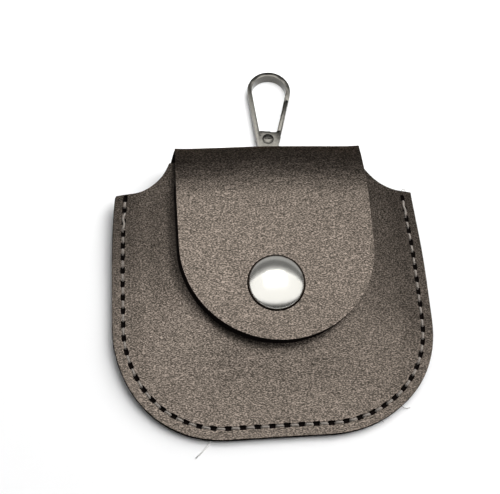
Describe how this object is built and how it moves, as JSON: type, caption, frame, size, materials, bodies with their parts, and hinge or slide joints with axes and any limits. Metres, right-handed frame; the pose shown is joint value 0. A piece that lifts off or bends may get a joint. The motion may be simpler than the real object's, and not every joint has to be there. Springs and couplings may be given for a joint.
{
  "type": "belt pouch",
  "caption": "Small clip-on pouch of thin coated leather with scooped shoulders, a rounded fold-over flap closed by a press snap, and a gated snap hook to hang it from a belt.",
  "frame": {"origin": "on the table that the pouch lies on, under the middle of the box round the pouch and its hook", "axes": "+X across the pouch to its right seen from the front, +Y from the round bottom towards the fold and the hook, +Z from the back panel out through the flap"},
  "size_m": [0.0834, 0.1062, 0.0154],
  "materials": {
    "coated_leather": "satin",
    "dark_leather": "matte",
    "polished_nickel": "polished",
    "gunmetal": "polished"
  },
  "bodies": {
    "pouch": {"back_and_flap": "coated_leather", "front_panel": "coated_leather", "hook_tab": "dark_leather", "snap_cap": "polished_nickel", "snap_socket": "polished_nickel", "snap_stud": "polished_nickel", "hook_frame": "gunmetal", "gate_rivet": "gunmetal"},
    "gate": {"hook_gate": "gunmetal"}
  },
  "joints": [
    {"name": "gate_hinge", "type": "hinge", "parent": "pouch", "child": "gate", "pos_m": [0.0018, 0.0313, 0.0017], "axis": [0, 0, 1], "range_deg": [0, 25], "stiffness_Nm_per_rad": 0.01}
  ]
}
